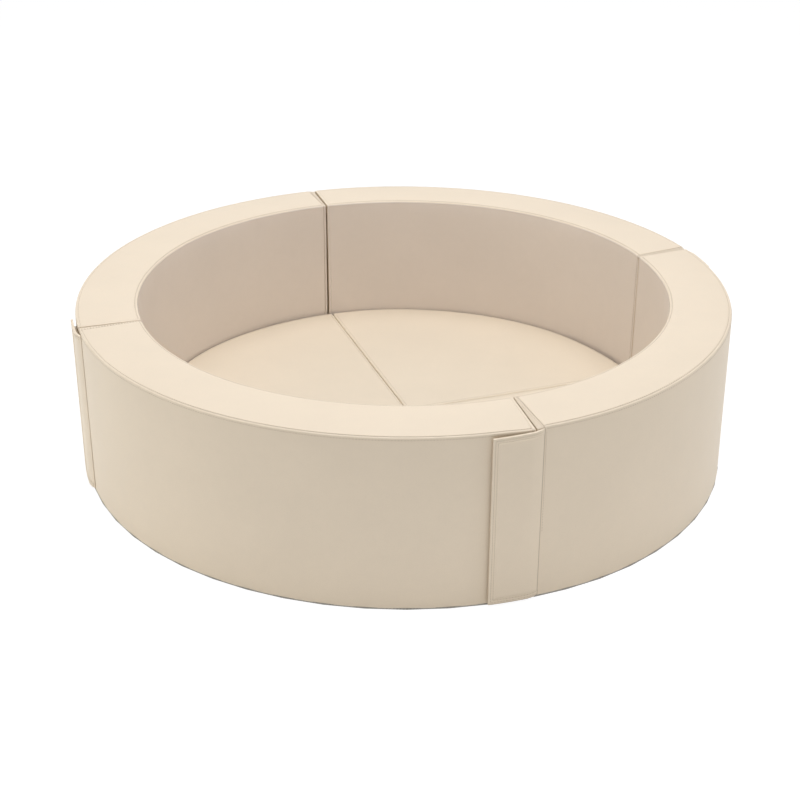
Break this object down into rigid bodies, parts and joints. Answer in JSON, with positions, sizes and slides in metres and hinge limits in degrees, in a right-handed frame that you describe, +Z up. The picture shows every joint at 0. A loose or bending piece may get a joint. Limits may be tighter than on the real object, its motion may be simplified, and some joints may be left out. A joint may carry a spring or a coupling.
{
  "type": "round soft-play ball pit",
  "caption": "Low round foam wall of curved sections held end to end by hook-and-loop flaps, with wedge-shaped foam floor pads inside; empty.",
  "frame": {"origin": "centre of the ring, on the floor under the base panels", "axes": "+Z up; the wall's joints lie at 20, 110, 200 and 290 degrees from +X, and section 1 is at the front right, with -Y the front"},
  "size_m": [1.5598, 1.5598, 0.4065],
  "materials": {
    "cover_leather": "satin",
    "base_cloth": "matte",
    "foam": "matte",
    "hook_tape": "matte",
    "loop_tape": "matte",
    "zip_tape": "matte",
    "slider_metal": "satin"
  },
  "bodies": {
    "wall_section_1": {"wall_cover_1": "cover_leather", "wall_foam_1": "foam", "wall_base_1": "base_cloth", "wall_zip_1": "zip_tape", "wall_loop_tape_1": "loop_tape"},
    "wall_zip_slider_1": {"wall_zip_slider_1": "slider_metal"},
    "closing_flap_1": {"flap_1": "cover_leather", "flap_hook_tape_1": "hook_tape"},
    "floor_pad_1": {"pad_cover_1": "cover_leather", "pad_foam_1": "foam", "pad_base_1": "base_cloth", "pad_zip_1": "zip_tape"},
    "pad_zip_slider_1": {"pad_zip_slider_1": "slider_metal"},
    "wall_section_2": {"wall_cover_2": "cover_leather", "wall_foam_2": "foam", "wall_base_2": "base_cloth", "wall_zip_2": "zip_tape", "wall_loop_tape_2": "loop_tape"},
    "wall_zip_slider_2": {"wall_zip_slider_2": "slider_metal"},
    "closing_flap_2": {"flap_2": "cover_leather", "flap_hook_tape_2": "hook_tape"},
    "floor_pad_2": {"pad_cover_2": "cover_leather", "pad_foam_2": "foam", "pad_base_2": "base_cloth", "pad_zip_2": "zip_tape"},
    "pad_zip_slider_2": {"pad_zip_slider_2": "slider_metal"},
    "wall_section_3": {"wall_cover_3": "cover_leather", "wall_foam_3": "foam", "wall_base_3": "base_cloth", "wall_zip_3": "zip_tape", "wall_loop_tape_3": "loop_tape"},
    "wall_zip_slider_3": {"wall_zip_slider_3": "slider_metal"},
    "closing_flap_3": {"flap_3": "cover_leather", "flap_hook_tape_3": "hook_tape"},
    "floor_pad_3": {"pad_cover_3": "cover_leather", "pad_foam_3": "foam", "pad_base_3": "base_cloth", "pad_zip_3": "zip_tape"},
    "pad_zip_slider_3": {"pad_zip_slider_3": "slider_metal"},
    "wall_section_4": {"wall_cover_4": "cover_leather", "wall_foam_4": "foam", "wall_base_4": "base_cloth", "wall_zip_4": "zip_tape", "wall_loop_tape_4": "loop_tape"},
    "wall_zip_slider_4": {"wall_zip_slider_4": "slider_metal"},
    "closing_flap_4": {"flap_4": "cover_leather", "flap_hook_tape_4": "hook_tape"},
    "floor_pad_4": {"pad_cover_4": "cover_leather", "pad_foam_4": "foam", "pad_base_4": "base_cloth", "pad_zip_4": "zip_tape"},
    "pad_zip_slider_4": {"pad_zip_slider_4": "slider_metal"}
  },
  "joints": [
    {"name": "wall_lift_1", "type": "slide", "parent": "floor_pad_1", "child": "wall_section_1", "axis": [0, 0, 1], "range_m": [0, 0.45]},
    {"name": "flap_hinge_1", "type": "hinge", "parent": "wall_section_1", "child": "closing_flap_1", "pos_m": [0.28194, -0.72919, 0.202], "axis": [0, 0, 1], "range_deg": [0, 165]},
    {"name": "wall_zip_run_1", "type": "hinge", "parent": "wall_section_1", "child": "wall_zip_slider_1", "pos_m": [0, 0, 0], "axis": [0, 0, 1], "range_deg": [0, 84]},
    {"name": "pad_zip_run_1", "type": "hinge", "parent": "floor_pad_1", "child": "pad_zip_slider_1", "pos_m": [0, 0, 0], "axis": [0, 0, 1], "range_deg": [0, 83]},
    {"name": "wall_lift_2", "type": "slide", "parent": "floor_pad_1", "child": "wall_section_2", "axis": [0, 0, 1], "range_m": [0, 0.45]},
    {"name": "pad_lift_2", "type": "slide", "parent": "floor_pad_1", "child": "floor_pad_2", "axis": [0, 0, 1], "range_m": [0, 0.45]},
    {"name": "flap_hinge_2", "type": "hinge", "parent": "wall_section_2", "child": "closing_flap_2", "pos_m": [0.72919, 0.28194, 0.202], "axis": [0, 0, 1], "range_deg": [0, 165]},
    {"name": "wall_zip_run_2", "type": "hinge", "parent": "wall_section_2", "child": "wall_zip_slider_2", "pos_m": [0, 0, 0], "axis": [0, 0, 1], "range_deg": [0, 84]},
    {"name": "pad_zip_run_2", "type": "hinge", "parent": "floor_pad_2", "child": "pad_zip_slider_2", "pos_m": [0, 0, 0], "axis": [0, 0, 1], "range_deg": [0, 83]},
    {"name": "wall_lift_3", "type": "slide", "parent": "floor_pad_1", "child": "wall_section_3", "axis": [0, 0, 1], "range_m": [0, 0.45]},
    {"name": "pad_lift_3", "type": "slide", "parent": "floor_pad_1", "child": "floor_pad_3", "axis": [0, 0, 1], "range_m": [0, 0.45]},
    {"name": "flap_hinge_3", "type": "hinge", "parent": "wall_section_3", "child": "closing_flap_3", "pos_m": [-0.28194, 0.72919, 0.202], "axis": [0, 0, 1], "range_deg": [0, 165]},
    {"name": "wall_zip_run_3", "type": "hinge", "parent": "wall_section_3", "child": "wall_zip_slider_3", "pos_m": [0, 0, 0], "axis": [0, 0, 1], "range_deg": [0, 84]},
    {"name": "pad_zip_run_3", "type": "hinge", "parent": "floor_pad_3", "child": "pad_zip_slider_3", "pos_m": [0, 0, 0], "axis": [0, 0, 1], "range_deg": [0, 83]},
    {"name": "wall_lift_4", "type": "slide", "parent": "floor_pad_1", "child": "wall_section_4", "axis": [0, 0, 1], "range_m": [0, 0.45]},
    {"name": "pad_lift_4", "type": "slide", "parent": "floor_pad_1", "child": "floor_pad_4", "axis": [0, 0, 1], "range_m": [0, 0.45]},
    {"name": "flap_hinge_4", "type": "hinge", "parent": "wall_section_4", "child": "closing_flap_4", "pos_m": [-0.72919, -0.28194, 0.202], "axis": [0, 0, 1], "range_deg": [0, 165]},
    {"name": "wall_zip_run_4", "type": "hinge", "parent": "wall_section_4", "child": "wall_zip_slider_4", "pos_m": [0, 0, 0], "axis": [0, 0, 1], "range_deg": [0, 84]},
    {"name": "pad_zip_run_4", "type": "hinge", "parent": "floor_pad_4", "child": "pad_zip_slider_4", "pos_m": [0, 0, 0], "axis": [0, 0, 1], "range_deg": [0, 83]}
  ]
}
